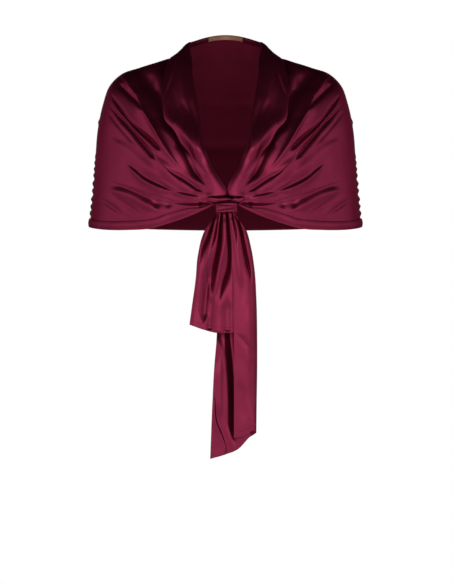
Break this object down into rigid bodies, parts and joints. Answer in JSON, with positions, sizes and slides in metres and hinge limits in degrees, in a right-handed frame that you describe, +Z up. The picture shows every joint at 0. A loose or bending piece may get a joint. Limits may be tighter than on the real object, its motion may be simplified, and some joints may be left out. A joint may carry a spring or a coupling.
{
  "type": "evening stole",
  "caption": "Satin shoulder stole as worn: gathered fronts drawn to a banded knot at the centre front, with a soft turned collar and a short and a long hanging tail.",
  "frame": {"origin": "between the shoulders, at the height where the neck meets them, in the plane of the side seams", "axes": "+Z up the wearer, -Y to the wearer's front, +X to the wearer's left"},
  "size_m": [0.4804, 0.2944, 0.7369],
  "materials": {
    "satin": "burgundy satin with a soft metallic sheen",
    "label": "plain copper satin label, bare"
  },
  "bodies": {
    "root": {"back": "satin", "front_left": "satin", "front_right": "satin", "collar_left": "satin", "collar_right": "satin", "collar_back": "satin", "hem_band_left": "satin", "hem_band_right": "satin", "knot_band": "satin", "knot_fold_left": "satin", "knot_fold_right": "satin", "tail_short": "satin", "tail_long": "satin", "neck_label": "label"}
  },
  "joints": []
}
